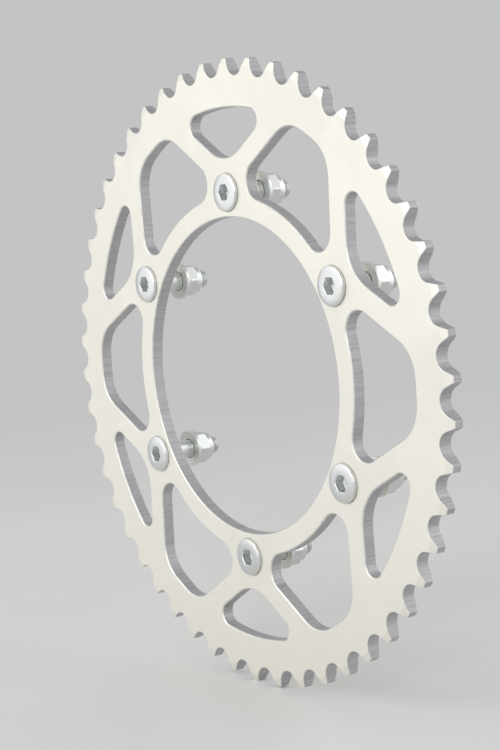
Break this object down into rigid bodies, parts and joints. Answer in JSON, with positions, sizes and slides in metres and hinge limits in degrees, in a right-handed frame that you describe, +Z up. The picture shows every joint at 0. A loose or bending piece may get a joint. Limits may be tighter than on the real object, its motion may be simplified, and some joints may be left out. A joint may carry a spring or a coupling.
{
  "type": "motorcycle rear sprocket",
  "caption": "Flat aluminium chain sprocket with slanted spokes and lightening cut-outs, with countersunk bolts, washers and locking nuts that fix it to a wheel hub.",
  "frame": {"origin": "centre of the bolt circle on the plate's hub seat, which is its back face", "axes": "+Y along the axle from the plate towards the hub, +Z up through one bolt, +X to the right seen from the outer face"},
  "size_m": [0.2562, 0.0317, 0.2564],
  "materials": {
    "sprocket": "pale anodised, fine satin",
    "bolt": "bright zinc plated",
    "washer": "zinc plated",
    "nut": "zinc plated",
    "nut_insert": "natural nylon"
  },
  "bodies": {
    "sprocket": {"sprocket": "sprocket", "bolt_1": "bolt", "bolt_2": "bolt", "bolt_3": "bolt", "bolt_4": "bolt", "bolt_5": "bolt", "bolt_6": "bolt"},
    "washer_1": {"washer_1": "washer"},
    "nut_1": {"nut_1": "nut", "nut_insert_1": "nut_insert"},
    "washer_2": {"washer_2": "washer"},
    "nut_2": {"nut_2": "nut", "nut_insert_2": "nut_insert"},
    "washer_3": {"washer_3": "washer"},
    "nut_3": {"nut_3": "nut", "nut_insert_3": "nut_insert"},
    "washer_4": {"washer_4": "washer"},
    "nut_4": {"nut_4": "nut", "nut_insert_4": "nut_insert"},
    "washer_5": {"washer_5": "washer"},
    "nut_5": {"nut_5": "nut", "nut_insert_5": "nut_insert"},
    "washer_6": {"washer_6": "washer"},
    "nut_6": {"nut_6": "nut", "nut_insert_6": "nut_insert"}
  },
  "joints": [
    {"name": "washer_1_travel", "type": "slide", "parent": "sprocket", "child": "washer_1", "axis": [0, 1, 0], "range_m": [0, 0.01125]},
    {"name": "nut_1_turn", "type": "hinge", "parent": "washer_1", "child": "nut_1", "pos_m": [0, 0, 0.075], "axis": [0, 1, 0], "range_deg": [0, 3240]},
    {"name": "washer_2_travel", "type": "slide", "parent": "sprocket", "child": "washer_2", "axis": [0, 1, 0], "range_m": [0, 0.01125]},
    {"name": "nut_2_turn", "type": "hinge", "parent": "washer_2", "child": "nut_2", "pos_m": [0.06495, 0, 0.0375], "axis": [0, 1, 0], "range_deg": [0, 3240]},
    {"name": "washer_3_travel", "type": "slide", "parent": "sprocket", "child": "washer_3", "axis": [0, 1, 0], "range_m": [0, 0.01125]},
    {"name": "nut_3_turn", "type": "hinge", "parent": "washer_3", "child": "nut_3", "pos_m": [0.06495, 0, -0.0375], "axis": [0, 1, 0], "range_deg": [0, 3240]},
    {"name": "washer_4_travel", "type": "slide", "parent": "sprocket", "child": "washer_4", "axis": [0, 1, 0], "range_m": [0, 0.01125]},
    {"name": "nut_4_turn", "type": "hinge", "parent": "washer_4", "child": "nut_4", "pos_m": [0, 0, -0.075], "axis": [0, 1, 0], "range_deg": [0, 3240]},
    {"name": "washer_5_travel", "type": "slide", "parent": "sprocket", "child": "washer_5", "axis": [0, 1, 0], "range_m": [0, 0.01125]},
    {"name": "nut_5_turn", "type": "hinge", "parent": "washer_5", "child": "nut_5", "pos_m": [-0.06495, 0, -0.0375], "axis": [0, 1, 0], "range_deg": [0, 3240]},
    {"name": "washer_6_travel", "type": "slide", "parent": "sprocket", "child": "washer_6", "axis": [0, 1, 0], "range_m": [0, 0.01125]},
    {"name": "nut_6_turn", "type": "hinge", "parent": "washer_6", "child": "nut_6", "pos_m": [-0.06495, 0, 0.0375], "axis": [0, 1, 0], "range_deg": [0, 3240]}
  ],
  "couplings": [
    {"joint": "washer_1_travel", "follows": "nut_1_turn", "m_per_rad": 0.00019894},
    {"joint": "washer_2_travel", "follows": "nut_2_turn", "m_per_rad": 0.00019894},
    {"joint": "washer_3_travel", "follows": "nut_3_turn", "m_per_rad": 0.00019894},
    {"joint": "washer_4_travel", "follows": "nut_4_turn", "m_per_rad": 0.00019894},
    {"joint": "washer_5_travel", "follows": "nut_5_turn", "m_per_rad": 0.00019894},
    {"joint": "washer_6_travel", "follows": "nut_6_turn", "m_per_rad": 0.00019894}
  ]
}
